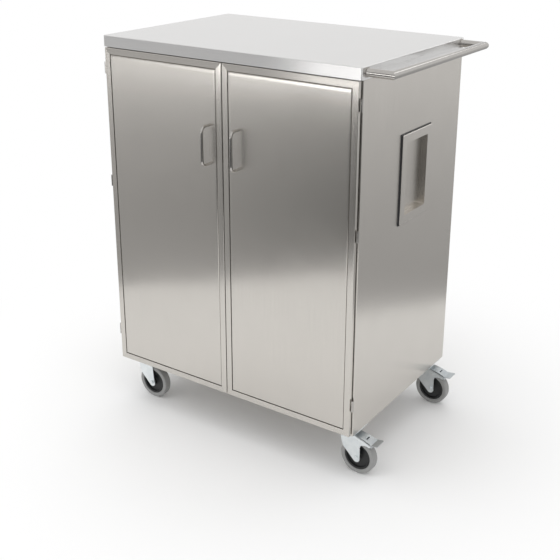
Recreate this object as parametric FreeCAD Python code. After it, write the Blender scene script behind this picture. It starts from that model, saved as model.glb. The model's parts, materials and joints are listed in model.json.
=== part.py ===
"""Enclosed meal tray cart in folded stainless sheet, on four swivel casters.

Millimetres, +Z up. The doors face -Y and the push handle is at the +X end. The model is laid out about
the middle of the cabinet with the floor at z = 0, and is moved at the end so that its origin is the
middle of its bounding box, on the floor.
"""
import FreeCAD
import Part
import math
import os

Vector = FreeCAD.Vector

# ---------------------------------------------------------------- overall sizes
tray_width = 457.0  # an 18 inch tray, lying across its bay
tray_side_gap = 2.75  # on both sides of a tray
cart_depth = 685.0  # worktop, front to back
cart_height = 1365.0  # floor to worktop
body_clearance = 165.0  # floor to the underside of the cabinet
sheet = 1.5  # stainless sheet of every folded panel
bend = 3.0  # outside radius of a folded edge
cut_overrun = 12.0  # how far a pan is made past a plain end before it is cut off
coincident = 1e-6  # lengths below this count as none

# ---------------------------------------------------------------- worktop
fascia_height = 38.0
hem_width = 12.0
worktop_corner = 5.0
stiffener_width = 60.0
stiffener_flange = 15.0
stiffener_spacing = 300.0
stiffener_end_gap = 14.0

# ---------------------------------------------------------------- cabinet
side_inset = 2.0  # worktop's end to the side panel's outer face
rear_inset = 2.0
front_setback = 12.5  # worktop's front to the cabinet's front edge
side_return = 18.0
base_height = 30.0
header_height = 32.0
header_lip = 12.0
post_width = 30.0
post_depth = 20.0
partition_return = 15.0
channel_sheet = 3.0

# ---------------------------------------------------------------- doors
door_thickness = 12.0
door_stand_off = 4.0  # door's back to the cabinet's front
door_meeting_gap = 3.0
door_top_gap = 2.5
door_bottom_gap = 3.0
rim_width = 21.0
rim_edge = 1.5
groove_width = 2.0
panel_edge = 2.5

handle_rod_radius = 5.0
handle_centres = 128.0
handle_reach = 33.0  # door's face to the rod's centre line
handle_bend = 18.0
handle_from_middle = 58.0
handle_height = 1055.0
screw_radius = 2.5
screw_depth = 14.0  # threaded hole in the rod's foot
screw_end_gap = 1.0  # screw's end to the bottom of that hole
screw_head_radius = 4.75
screw_head_height = 2.4

barrel_radius = 5.0
barrel_length = 19.5
barrel_cap = 2.5
hinge_play = 0.2
hinge_side_gap = 0.5  # barrel to the door's edge
pin_radius = 3.0
pin_fit = 0.05
weld_lug = 4.0
weld_lug_length = 14.0
hinge_stand_off = 8.0  # hinge axis to the cabinet's front
hinge_heights = (280.0, 856.0, 1255.0)

catch_from_middle = 45.0
catch_width = 46.0
catch_depth = 28.0
catch_height = 14.0
catch_gap = 0.3
strike_width = 38.0
strike_height = 12.0
strike_sheet = 1.5

# ---------------------------------------------------------------- push handle
tube_radius = 12.7
tube_wall = 1.5
leg_spacing = 634.0
push_reach = 82.5  # worktop's end to the tube's centre line
push_drop = 17.0  # worktop to the tube's centre line
collar_radius = 15.5
collar_length = 3.0
collar_fit = 0.05

# ---------------------------------------------------------------- recessed grip on the right side
grip_width = 202.0
grip_height = 298.0
grip_proud = 7.0
pocket_width = 143.0
pocket_height = 240.0
pocket_depth = 23.0  # from the face of the proud plate
pocket_corner = 3.0
grip_middle_y = 19.5
grip_middle_z = 964.0
grip_clearance = 1.0

# ---------------------------------------------------------------- tray runners
tray_bearing = 14.0  # of a tray's edge on each ledge
runner_levels = 10
runner_pitch = 105.0
first_runner = 60.0  # cabinet floor to the lowest ledge
runner_length = 600.0
runner_leg = 15.0
upright_width = 40.0
upright_depth = 19.0
upright_spacing = 500.0

# ---------------------------------------------------------------- casters
wheel_radius = 62.5
tyre_width = 30.0
tyre_thickness = 15.0
tyre_shoulder = 5.0
tyre_base_width = 27.0
caster_trail = 45.0  # swivel axis to wheel axle
caster_end_inset = 54.0  # worktop's end to the swivel axis
caster_edge_inset = 60.0  # cabinet's front or back to the swivel axis
plate_length = 105.0
plate_width = 85.0
plate_sheet = 3.0
plate_corner = 10.0
plate_bolt_x = 80.0
plate_bolt_y = 60.0
bolt_radius = 4.0
bolt_fit = 0.5
bolt_head_height = 5.3
bolt_end = 1.0  # bolt's end past its nut
stud_length = 12.0
nut_height = 6.5
hex_across_flats = 13.0
king_pin_radius = 6.0
king_nut_across_flats = 19.0
king_nut_height = 6.0
race_radius = 27.0
race_height = 5.0
race_gap = 0.3
crown_depth = 24.5  # plate's underside to the crown's lower face
crown_sheet = 3.0
crown_radius = 25.0  # foot of the ball race on the crown
crown_race_radius = 27.0  # its rim
fork_sheet = 2.5
fork_side_gap = 3.0  # tyre to fork leg
fork_top_front = -15.0  # crown, along X from the swivel axis
fork_top_rear = 36.0
fork_foot_radius = 13.0
fork_foot_drop = 4.0  # middle of the round foot, below the axle
hub_radius = 13.0
hub_draft = 1.5
hub_side_gap = 2.0
rim_thickness = 6.0
rim_half_width = 13.0
web_radius = 38.0
web_half_inner = 6.0
web_half_outer = 4.0

# Outlines of a fork leg as (along X, up) from the wheel's axle: its front edge upwards, and its rear edge
# upwards from the foot. A braked fork's rear edge runs out along the arm that the pedal lies on.
fork_front_edge = ((-50.0, 27.5), (-57.0, 44.0), (-60.0, 60.0))
fork_rear_edge_plain = ((10.5, 10.0), (6.0, 46.0), (5.5, 62.0))
fork_rear_edge_braked = ((12.5, 40.0), (15.5, 49.5), (27.5, 54.0), (38.0, 54.5), (47.5, 51.5), (53.5, 58.5),
                         (25.0, 70.9))

# Brake pedal with its toe raised, laid out the same way. The rise is its top surface.
pedal_sheet = 2.0
pedal_half_width = 20.0
pedal_toe_half_width = 23.5
pedal_toe_corner = 8.0
pedal_pivot = (4.0, 62.0)
pedal_pin_radius = 2.5
pedal_pin_fit = 0.05
pedal_pin_head = 4.5
pedal_pin_head_height = 1.5
pedal_ear_radius = 6.0
pedal_ear_sheet = 1.5
pedal_ear_gap = 1.0  # to the fork leg
pedal_rise = ((-6.0, 81.0), (24.0, 75.7), (56.0, 65.0), (78.5, 68.5))
pedal_slot = (29.0, 33.0)
pedal_slot_half_width = 10.0
brake_shoe = ((38.0, 54.4), (50.0, 45.1), (50.0, 66.0), (38.0, 70.0))
brake_shoe_half_width = 11.0

# ---------------------------------------------------------------- places worked out from the sizes
upright_face_x = post_width / 2 + tray_width + 2 * tray_side_gap
inner_x = upright_face_x + upright_depth
side_x = inner_x + sheet
worktop_x = side_x + side_inset
top_z = cart_height
worktop_y = cart_depth / 2
fascia_z = top_z - fascia_height
front_y = -worktop_y + front_setback
back_y = worktop_y - rear_inset
lining_front_y = front_y + sheet
lining_back_y = back_y - sheet
bottom_z = body_clearance
floor_z = bottom_z + base_height
header_z = fascia_z - header_height
bay_wall_x = side_x - side_return

door_back_y = front_y - door_stand_off
door_front_y = door_back_y - door_thickness
door_inner_x = door_meeting_gap / 2
door_outer_x = side_x - barrel_radius - hinge_side_gap
door_top_z = fascia_z - door_top_gap
door_bottom_z = bottom_z + door_bottom_gap
hinge_x = side_x
hinge_y = front_y - hinge_stand_off

caster_x = worktop_x - caster_end_inset
caster_front_y = front_y + caster_edge_inset
caster_back_y = back_y - caster_edge_inset
crown_z = bottom_z - plate_sheet - crown_depth
leg_inner_y = tyre_width / 2 + fork_side_gap
leg_outer_y = leg_inner_y + fork_sheet
rim_radius = wheel_radius - tyre_thickness


# ---------------------------------------------------------------- shape helpers
def box(x0, x1, y0, y1, z0, z1):
    """Box between two values along each axis."""
    return Part.makeBox(x1 - x0, y1 - y0, z1 - z0, Vector(x0, y0, z0))


def edges_on_plane(shape, axis, value):
    """Edges whose every vertex lies on the plane where the given axis (0, 1 or 2) has the value."""
    found = []
    for edge in shape.Edges:
        if all(abs(vertex.Point[axis] - value) < coincident for vertex in edge.Vertexes):
            found.append(edge)
    return found


def edges_along(shape, axis):
    """Straight edges that run along the given axis."""
    found = []
    for edge in shape.Edges:
        first = edge.Vertexes[0].Point
        last = edge.Vertexes[-1].Point
        change = [abs(last[i] - first[i]) for i in range(3)]
        if change[axis] > coincident and sum(change) - change[axis] < coincident:
            found.append(edge)
    return found


def slab(bounds, face, corner, edge):
    """Box with round corners about the face's axis and a rounded edge where the face meets its sides."""
    axis = "xyz".index(face[1])
    plane = bounds[2 * axis + (face[0] == "+")]
    shape = box(*bounds)
    if corner > 0:
        shape = shape.makeFillet(corner, edges_along(shape, axis))
    if edge > 0:
        shape = shape.makeFillet(edge, edges_on_plane(shape, axis, plane))
    return shape


def pan(bounds, face, corner=0.0, edge=bend, plain_ends=()):
    """Folded sheet pan that fills the bounds: its sheet is on the named face and its back is open.

    A plain end has no return: the pan is made longer there and cut off square.
    """
    axis = "xyz".index(face[1])
    open_end = 2 * axis + (face[0] == "-")
    outer = list(bounds)
    for end in plain_ends:
        outward = 1 if end[0] == "+" else -1
        outer[2 * "xyz".index(end[1]) + (end[0] == "+")] += outward * cut_overrun
    inner = []
    for i, value in enumerate(outer):
        inward = 1 if i % 2 == 0 else -1
        inner.append(value if i == open_end else value + inward * sheet)
    hollow = slab(inner, face, max(corner - sheet, 0), max(edge - sheet, 0))
    shell = slab(outer, face, corner, edge).cut(hollow)
    return shell.common(box(*bounds)) if plain_ends else shell


def folded(path, thickness, place, length):
    """Strip folded along a path and drawn out by a vector.

    The path is a list of (a, b) points. The strip lies between it and the same path moved to its left by
    the thickness, with mitred corners. place turns (a, b) into a point in space.
    """
    moved = []
    for i, point in enumerate(path):
        before = path[max(i - 1, 0)]
        after = path[min(i + 1, len(path) - 1)]
        normals = []
        for start, end in ((before, point), (point, after)):
            run = math.hypot(end[0] - start[0], end[1] - start[1])
            if run > 0:
                normals.append(((start[1] - end[1]) / run, (end[0] - start[0]) / run))
        total = (sum(n[0] for n in normals), sum(n[1] for n in normals))
        scale = thickness * len(normals) / (total[0] ** 2 + total[1] ** 2)
        moved.append((point[0] + total[0] * scale, point[1] + total[1] * scale))
    outline = list(path) + moved[::-1]
    return drawn([place(a, b) for a, b in outline], length)


def drawn(points, length):
    """Closed polygon drawn out by a vector."""
    return Part.Face(Part.makePolygon(points + [points[0]])).extrude(length)


def turned(profile, middle, axis):
    """Solid of revolution from a closed profile of (radius, height along the axis) points."""
    across = Vector(1, 0, 0)
    points = [middle + across * radius + axis * height for radius, height in profile]
    face = Part.Face(Part.makePolygon(points + [points[0]]))
    return face.revolve(middle, axis, 360)


def cylinder(radius, start, vector):
    """Cylinder from a point along a vector."""
    return Part.makeCylinder(radius, vector.Length, start, vector)


def hexagon(across_flats, start, vector):
    """Hexagonal prism from a point along a vertical or a Y vector, with two flats facing along X."""
    reach = across_flats / math.sqrt(3)
    points = []
    for i in range(6):
        a = reach * math.sin(math.radians(60 * i))
        b = reach * math.cos(math.radians(60 * i))
        side = Vector(0, b, 0) if abs(vector.z) > 0 else Vector(0, 0, b)
        points.append(start + Vector(a, 0, 0) + side)
    return drawn(points, vector)


def swept(points, radius, bend_radius=0.0):
    """Round bar along a path: tangent arcs at the corners, or mitres where the bend radius is 0."""
    edges = []
    start = points[0]
    for i in range(1, len(points)):
        corner = points[i]
        if i == len(points) - 1 or bend_radius == 0:
            edges.append(Part.LineSegment(start, corner).toShape())
            start = corner
            continue
        back = (start - corner).normalize()
        ahead = (points[i + 1] - corner).normalize()
        half = math.radians(180) - back.getAngle(ahead)
        cut = bend_radius * math.tan(half / 2)
        middle_way = (back + ahead).normalize()
        depth = bend_radius / math.cos(half / 2) - bend_radius
        enter = corner + back * cut
        leave = corner + ahead * cut
        edges.append(Part.LineSegment(start, enter).toShape())
        edges.append(Part.Arc(enter, corner + middle_way * depth, leave).toShape())
        start = leave
    path = Part.Wire(edges)
    circle = Part.Wire(Part.makeCircle(radius, points[0], points[1] - points[0]))
    sweep = Part.BRepOffsetAPI.MakePipeShell(path)
    sweep.setTransitionMode(1 if bend_radius == 0 else 0)
    sweep.add(circle)
    sweep.build()
    sweep.makeSolid()
    return sweep.shape()


def mirrored(shape):
    """Copy on the other side of the cart's middle plane."""
    return shape.mirror(Vector(0, 0, 0), Vector(1, 0, 0))


def group(shapes):
    """Separate solids kept together under one name."""
    return Part.makeCompound([solid for shape in shapes for solid in shape.Solids])


# ---------------------------------------------------------------- worktop
def worktop():
    """Pan with rounded edges, and a hem turned inward along the foot of its four faces."""
    bounds = (-worktop_x, worktop_x, -worktop_y, worktop_y, fascia_z, top_z)
    inner = (-worktop_x + sheet, worktop_x - sheet, -worktop_y + sheet, worktop_y - sheet)
    cavity = slab(inner + (fascia_z + sheet, top_z - sheet), "+z", worktop_corner - sheet, bend - sheet)
    mouth = box(-worktop_x + hem_width, worktop_x - hem_width, -worktop_y + hem_width,
                worktop_y - hem_width, fascia_z, fascia_z + sheet)
    return slab(bounds, "+z", worktop_corner, bend).cut(cavity).cut(mouth)


def worktop_stiffeners():
    """Two hat sections welded under the top sheet, as deep as the front face."""
    top = top_z - sheet
    foot = fascia_z + sheet
    half = stiffener_width / 2
    path = [(half + stiffener_flange, top), (half, top), (half, foot),
            (-half, foot), (-half, top), (-half - stiffener_flange, top)]
    reach = worktop_x - stiffener_end_gap
    hats = []
    for middle in (-stiffener_spacing / 2, stiffener_spacing / 2):
        hat = folded(path, sheet, lambda a, b: Vector(-reach, middle + a, b), Vector(2 * reach, 0, 0))
        hats.append(hat)
    return group(hats)


# ---------------------------------------------------------------- cabinet
def side_panel():
    """Right side: returns at its front, back and top, and a plain lower edge."""
    bounds = (bay_wall_x, side_x, front_y, back_y, bottom_z, fascia_z)
    return pan(bounds, "+x", plain_ends=("-z",))


def grip_cut_out():
    """Opening in the right side panel that the pocket passes through."""
    half_y = pocket_width / 2 + sheet + grip_clearance
    half_z = pocket_height / 2 + sheet + grip_clearance
    return box(inner_x - sheet, side_x + sheet, grip_middle_y - half_y, grip_middle_y + half_y,
               grip_middle_z - half_z, grip_middle_z + half_z)


def base_pan():
    """Cabinet floor with its flanges turned down and its corners notched."""
    bounds = (-inner_x, inner_x, lining_front_y, lining_back_y, bottom_z, floor_z)
    notches = []
    for x in (-inner_x, inner_x - bend):
        for y in (lining_front_y, lining_back_y - bend):
            notches.append(box(x, x + bend, y, y + bend, bottom_z, floor_z))
    return pan(bounds, "+z").cut(group(notches))


def top_notches():
    """Room at the upper corners of the cabinet for the top returns of the side panels."""
    right = box(bay_wall_x, side_x, front_y, back_y, fascia_z - bend, fascia_z)
    return group([right, mirrored(right)])


def back_panel():
    """Flat sheet welded to the inner faces of the side panels' rear returns."""
    reach = inner_x - bend
    sheet_box = box(-reach, reach, lining_back_y - sheet, lining_back_y, floor_z, fascia_z)
    return sheet_box.cut(top_notches())


def front_header():
    """Channel across the top of the front, behind the returns of the side panels."""
    back = lining_front_y + post_depth
    path = [(back, fascia_z), (lining_front_y, fascia_z), (lining_front_y, header_z),
            (lining_front_y + header_lip, header_z)]
    reach = inner_x - sheet
    channel = folded(path, sheet, lambda a, b: Vector(-reach, a, b), Vector(2 * reach, 0, 0))
    return channel.cut(top_notches())


def centre_post():
    """Rectangular tube that the doors' meeting edges close against."""
    half = post_width / 2
    back = lining_front_y + post_depth
    outer = box(-half, half, lining_front_y, back, floor_z, header_z)
    inner = box(-half + sheet, half - sheet, lining_front_y + sheet, back - sheet, floor_z, header_z)
    return outer.cut(inner)


def centre_partition():
    """Sheet between the two bays, with returns towards the right bay."""
    bounds = (-sheet / 2, partition_return, lining_front_y + post_depth, lining_back_y - sheet,
              floor_z, fascia_z)
    return pan(bounds, "-x")


def caster_channel():
    """Right channel under the floor, with the welded studs that carry the caster plates."""
    left = caster_x - plate_length / 2
    right = inner_x - bend
    top = floor_z - sheet
    front = lining_front_y + bend
    length = lining_back_y - bend - front
    path = [(left, top), (left, bottom_z), (right, bottom_z), (right, top)]
    shape = folded(path, channel_sheet, lambda a, b: Vector(a, front, b), Vector(0, length, 0))
    studs = []
    for x, y in caster_stud_places():
        studs.append(cylinder(bolt_radius, Vector(x, y, bottom_z), Vector(0, 0, -stud_length)))
    return shape.fuse(studs)


def side_grip():
    """Proud plate folded from sheet with a pocket let into it, open towards +X."""
    face_x = side_x + grip_proud
    half_y = grip_width / 2
    half_z = grip_height / 2
    plate = pan((side_x, face_x, grip_middle_y - half_y, grip_middle_y + half_y,
                 grip_middle_z - half_z, grip_middle_z + half_z), "+x")
    half_y = pocket_width / 2
    half_z = pocket_height / 2
    tub = box(face_x - pocket_depth - sheet, face_x - sheet, grip_middle_y - half_y - sheet,
              grip_middle_y + half_y + sheet, grip_middle_z - half_z - sheet, grip_middle_z + half_z + sheet)
    hollow = slab((face_x - pocket_depth, face_x, grip_middle_y - half_y, grip_middle_y + half_y,
                   grip_middle_z - half_z, grip_middle_z + half_z), "-x", pocket_corner, 0)
    return plate.fuse(tub).cut(hollow).removeSplitter()


# ---------------------------------------------------------------- tray runners
def wall_uprights():
    """Two channels against each side wall, which hold the runners clear of the grip's pocket."""
    half = upright_width / 2
    path = [(inner_x, half), (upright_face_x, half), (upright_face_x, -half), (inner_x, -half)]
    height = Vector(0, 0, header_z - floor_z)
    shapes = []
    for middle in (-upright_spacing / 2, upright_spacing / 2):
        upright = folded(path, sheet, lambda a, b: Vector(a, middle + b, floor_z), height)
        shapes.append(upright)
        shapes.append(mirrored(upright))
    return group(shapes)


def runners(wall_x, ledge_x):
    """Angles at every level between a wall and the inner edge of their ledges."""
    shapes = []
    for level in range(runner_levels):
        z = floor_z + first_runner + level * runner_pitch
        path = [(ledge_x, z), (wall_x, z), (wall_x, z - runner_leg)]
        if ledge_x < wall_x:
            path = path[::-1]
        angle = folded(path, sheet, lambda a, b: Vector(a, -runner_length / 2, b),
                       Vector(0, runner_length, 0))
        shapes.append(angle)
    return group(shapes)


# ---------------------------------------------------------------- push handle
def push_handle_path():
    """Corners of the tube's centre line: leg, crossbar, leg."""
    z = top_z - push_drop
    bar_x = worktop_x + push_reach
    half = leg_spacing / 2
    return [Vector(worktop_x, -half, z), Vector(bar_x, -half, z), Vector(bar_x, half, z),
            Vector(worktop_x, half, z)]


def push_handle():
    """Round tube with two mitred corners, welded to the worktop's right face."""
    path = push_handle_path()
    return swept(path, tube_radius).cut(swept(path, tube_radius - tube_wall))


def push_handle_collars():
    """Ring round each leg where it meets the worktop's face."""
    shapes = []
    length = Vector(collar_length, 0, 0)
    for root in (push_handle_path()[0], push_handle_path()[-1]):
        ring = cylinder(collar_radius, root, length).cut(cylinder(tube_radius + collar_fit, root, length))
        shapes.append(ring)
    return group(shapes)


# ---------------------------------------------------------------- right door, mirrored for the left one
def door_rim():
    """Channel all round the door, open at the back, as four mitred lengths welded into one frame."""
    bounds = (door_inner_x, door_outer_x, door_front_y, door_back_y, door_bottom_z, door_top_z)
    outer = slab(bounds, "-y", 0, rim_edge)
    hole = box(door_inner_x + rim_width, door_outer_x - rim_width, door_front_y, door_back_y,
               door_bottom_z + rim_width, door_top_z - rim_width)
    skin = box(door_inner_x + sheet, door_outer_x - sheet, door_back_y - sheet, door_back_y,
               door_bottom_z + sheet, door_top_z - sheet)
    wide = box(door_inner_x + sheet, door_outer_x - sheet, door_front_y + sheet, door_back_y,
               door_bottom_z + sheet, door_top_z - sheet)
    narrow = box(door_inner_x + rim_width - sheet, door_outer_x - rim_width + sheet, door_front_y,
                 door_back_y, door_bottom_z + rim_width - sheet, door_top_z - rim_width + sheet)
    return outer.cut(hole).cut(wide.cut(narrow)).cut(skin)


def door_panel():
    """Inset front panel with rounded edges, a groove's width inside the rim."""
    margin = rim_width + groove_width
    bounds = (door_inner_x + margin, door_outer_x - margin, door_front_y, door_back_y - sheet,
              door_bottom_z + margin, door_top_z - margin)
    return pan(bounds, "-y", 0, panel_edge).cut(handle_holes())


def door_liner():
    """Inner skin that closes the back of the door, inside the rim's outer return."""
    skin = box(door_inner_x + sheet, door_outer_x - sheet, door_back_y - sheet, door_back_y,
               door_bottom_z + sheet, door_top_z - sheet)
    return skin.cut(handle_holes())


def handle_feet():
    """Middle of each foot of the D handle, on the door's face."""
    half = handle_centres / 2
    return [Vector(handle_from_middle, door_front_y, handle_height + half),
            Vector(handle_from_middle, door_front_y, handle_height - half)]


def handle_holes():
    """Clearance holes for the handle's screws, through both skins."""
    depth = Vector(0, door_thickness, 0)
    return group([cylinder(screw_radius + bolt_fit, foot, depth) for foot in handle_feet()])


def door_handle():
    """D handle of round rod, with a blind hole for a screw in each foot."""
    top, bottom = handle_feet()
    reach = Vector(0, -handle_reach, 0)
    rod = swept([top, top + reach, bottom + reach, bottom], handle_rod_radius, handle_bend)
    for foot in (top, bottom):
        rod = rod.cut(cylinder(screw_radius + pin_fit, foot, Vector(0, -screw_depth, 0)))
    return rod


def door_handle_screws():
    """Pan-head screws from inside the door into the handle's feet."""
    shapes = []
    for foot in handle_feet():
        seat = Vector(foot.x, door_back_y, foot.z)
        reach = door_thickness + screw_depth - screw_end_gap
        shank = cylinder(screw_radius, seat, Vector(0, -reach, 0))
        head = cylinder(screw_head_radius, seat, Vector(0, screw_head_height, 0))
        shapes.append(shank.fuse(head))
    return group(shapes)


def hinge_middles():
    """Middle of each hinge, where its two halves meet."""
    return [Vector(hinge_x, hinge_y, height) for height in hinge_heights]


def door_hinge_barrels():
    """Upper half of each hinge: a capped barrel with a bore, and a lug welded to the door's edge."""
    shapes = []
    for middle in hinge_middles():
        foot = middle + Vector(0, 0, hinge_play)
        barrel = cylinder(barrel_radius, foot, Vector(0, 0, barrel_length))
        lug_z = foot.z + (barrel_length - weld_lug_length) / 2
        lug = box(door_outer_x, hinge_x, hinge_y - weld_lug / 2, hinge_y + weld_lug / 2,
                  lug_z, lug_z + weld_lug_length)
        bore = cylinder(pin_radius + pin_fit, foot, Vector(0, 0, barrel_length - barrel_cap))
        shapes.append(barrel.fuse(lug).cut(bore))
    return group(shapes)


def hinge_pintles():
    """Lower half of each hinge: a barrel with its pin, and a lug welded to the side panel's return."""
    shapes = []
    for middle in hinge_middles():
        barrel = cylinder(barrel_radius, middle, Vector(0, 0, -barrel_length))
        lug_z = middle.z - (barrel_length + weld_lug_length) / 2
        lug = box(hinge_x - barrel_radius, hinge_x - barrel_radius + weld_lug, hinge_y, front_y,
                  lug_z, lug_z + weld_lug_length)
        pin = cylinder(pin_radius, middle, Vector(0, 0, barrel_length - 2 * barrel_cap))
        shapes.append(barrel.fuse(lug).fuse(pin))
    return group(shapes)


def catch_heights():
    """Lower face of each magnetic catch: one under the header and one on the cabinet's floor."""
    return (header_z - catch_height, floor_z)


def door_catches():
    """Magnetic catches whose faces lie just behind the strike plates."""
    face_y = door_back_y + strike_sheet + catch_gap
    shapes = []
    for z in catch_heights():
        x = catch_from_middle
        shapes.append(box(x - catch_width / 2, x + catch_width / 2, face_y, face_y + catch_depth,
                          z, z + catch_height))
    return group(shapes)


def strike_plates():
    """Steel plate on the inner skin in front of each catch."""
    shapes = []
    for z in catch_heights():
        x = catch_from_middle
        low = z + (catch_height - strike_height) / 2
        plate = box(x - strike_width / 2, x + strike_width / 2, door_back_y, door_back_y + strike_sheet,
                    low, low + strike_height)
        shapes.append(plate)
    return group(shapes)


# ---------------------------------------------------------------- casters
def caster_stud_places():
    """Studs of the two right-hand caster plates, as (x, y)."""
    places = []
    for middle_y in (caster_front_y, caster_back_y):
        for x in (caster_x - plate_bolt_x / 2, caster_x + plate_bolt_x / 2):
            for y in (middle_y - plate_bolt_y / 2, middle_y + plate_bolt_y / 2):
                places.append((x, y))
    return places


def caster_plate():
    """Top plate about the swivel axis, with four holes, a pressed race and the king bolt."""
    half_x = plate_length / 2
    half_y = plate_width / 2
    low = bottom_z - plate_sheet
    plate = slab((-half_x, half_x, -half_y, half_y, low, bottom_z), "+z", plate_corner, 0)
    for x in (-plate_bolt_x / 2, plate_bolt_x / 2):
        for y in (-plate_bolt_y / 2, plate_bolt_y / 2):
            plate = plate.cut(cylinder(bolt_radius + bolt_fit, Vector(x, y, low), Vector(0, 0, plate_sheet)))
    race = cylinder(race_radius, Vector(0, 0, low), Vector(0, 0, -race_height))
    pin_foot = crown_z - race_gap
    pin = cylinder(king_pin_radius, Vector(0, 0, low), Vector(0, 0, pin_foot - low))
    head = hexagon(king_nut_across_flats, Vector(0, 0, pin_foot), Vector(0, 0, -king_nut_height))
    return plate.fuse([race, pin, head])


def tangent_point(point, middle, radius, turn):
    """Where a line from the point touches the circle in the XZ plane, on the side given by turn (1 or -1)."""
    away = point - middle
    angle = math.atan2(away.z, away.x) + turn * math.acos(radius / away.Length)
    return middle + Vector(radius * math.cos(angle), 0, radius * math.sin(angle))


def fork_leg_outline(braked):
    """Outline of a fork leg in the XZ plane: its two edges, and the arc that joins them round the foot."""
    axle = Vector(caster_trail, 0, wheel_radius)
    top = crown_z + crown_sheet
    front = [axle + Vector(a, 0, b) for a, b in fork_front_edge]
    rear = [axle + Vector(a, 0, b) for a, b in (fork_rear_edge_braked if braked else fork_rear_edge_plain)]
    middle = axle - Vector(0, 0, fork_foot_drop)
    front_foot = tangent_point(front[0], middle, fork_foot_radius, 1)
    rear_foot = tangent_point(rear[0], middle, fork_foot_radius, -1)
    lowest = middle - Vector(0, 0, fork_foot_radius)
    points = [rear_foot] + rear + [Vector(fork_top_rear, 0, top), Vector(fork_top_front, 0, top)]
    points += front[::-1] + [front_foot]
    edges = [Part.LineSegment(points[i], points[i + 1]).toShape() for i in range(len(points) - 1)]
    edges.append(Part.Arc(front_foot, lowest, rear_foot).toShape())
    return Part.Face(Part.Wire(edges))


def caster_fork(braked):
    """Pressed fork: a crown with its ball race, and two legs that end round the axle."""
    top = crown_z + crown_sheet
    across = Vector(0, 2 * leg_outer_y, 0)
    outline = fork_leg_outline(braked)
    low_x = outline.BoundBox.XMin
    high_x = outline.BoundBox.XMax
    channel = box(low_x, high_x, -leg_outer_y, leg_outer_y, 0, top)
    creases = [edge for edge in edges_on_plane(channel, 2, top) if is_crease(edge)]
    channel = channel.makeFillet(bend, creases)
    channel = channel.cut(box(low_x, high_x, -leg_inner_y, leg_inner_y, 0, crown_z))
    channel = channel.cut(box(fork_top_rear, high_x, -leg_inner_y, leg_inner_y, 0, top))
    fork = channel.common(outline.translated(Vector(0, -leg_outer_y, 0)).extrude(across))
    race_top = bottom_z - plate_sheet - race_height - race_gap
    race = turned([(0, crown_z), (crown_radius, crown_z), (crown_radius, top), (crown_race_radius, race_top),
                   (0, race_top)], Vector(0, 0, 0), Vector(0, 0, 1))
    fork = fork.fuse(race)
    bore = cylinder(king_pin_radius + pin_fit, Vector(0, 0, crown_z), Vector(0, 0, race_top - crown_z))
    axle_hole = cylinder(bolt_radius + pin_fit, Vector(caster_trail, -leg_outer_y, wheel_radius), across)
    fork = fork.cut(bore).cut(axle_hole)
    if braked:
        x, z = pedal_pivot
        start = Vector(caster_trail + x, -leg_outer_y, wheel_radius + z)
        fork = fork.cut(cylinder(pedal_pin_radius + pin_fit, start, across))
    return fork


def is_crease(edge):
    """Whether an edge of the fork's top is one of the two folds along its legs."""
    first = edge.Vertexes[0].Point
    last = edge.Vertexes[-1].Point
    on_leg = abs(abs(first.y) - leg_outer_y) < coincident and abs(first.y - last.y) < coincident
    return on_leg and abs(first.x - last.x) > coincident


def caster_axle():
    """Axle bolt through the fork's feet, with its nut tightened on."""
    start = Vector(caster_trail, -leg_outer_y, wheel_radius)
    across = 2 * leg_outer_y
    shank = cylinder(bolt_radius, start, Vector(0, across + nut_height + bolt_end, 0))
    head = hexagon(hex_across_flats, start, Vector(0, -bolt_head_height, 0))
    nut = hexagon(hex_across_flats, start + Vector(0, across, 0), Vector(0, nut_height, 0))
    return shank.fuse([head, nut])


def wheel_centre():
    """Moulded wheel centre: hub, dished web and rim."""
    hub_half = leg_inner_y - hub_side_gap
    half = [(bolt_radius + pin_fit, hub_half), (hub_radius, hub_half),
            (hub_radius + hub_draft, web_half_inner), (web_radius, web_half_outer),
            (rim_radius - rim_thickness, rim_half_width), (rim_radius, rim_half_width)]
    profile = half + [(radius, -height) for radius, height in half[::-1]]
    return turned(profile, Vector(caster_trail, 0, wheel_radius), Vector(0, 1, 0))


def tyre():
    """Rubber tyre on the rim, with its shoulders rounded in two steps."""
    shoulder = []
    for degrees in (0, 45, 90):
        across = tyre_shoulder * (1 - math.cos(math.radians(degrees)))
        inward = tyre_shoulder * (1 - math.sin(math.radians(degrees)))
        shoulder.append((wheel_radius - inward, tyre_width / 2 - across))
    half = [(rim_radius, tyre_base_width / 2)] + shoulder
    profile = half + [(radius, -height) for radius, height in half[::-1]]
    return turned(profile, Vector(caster_trail, 0, wheel_radius), Vector(0, 1, 0))


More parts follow.
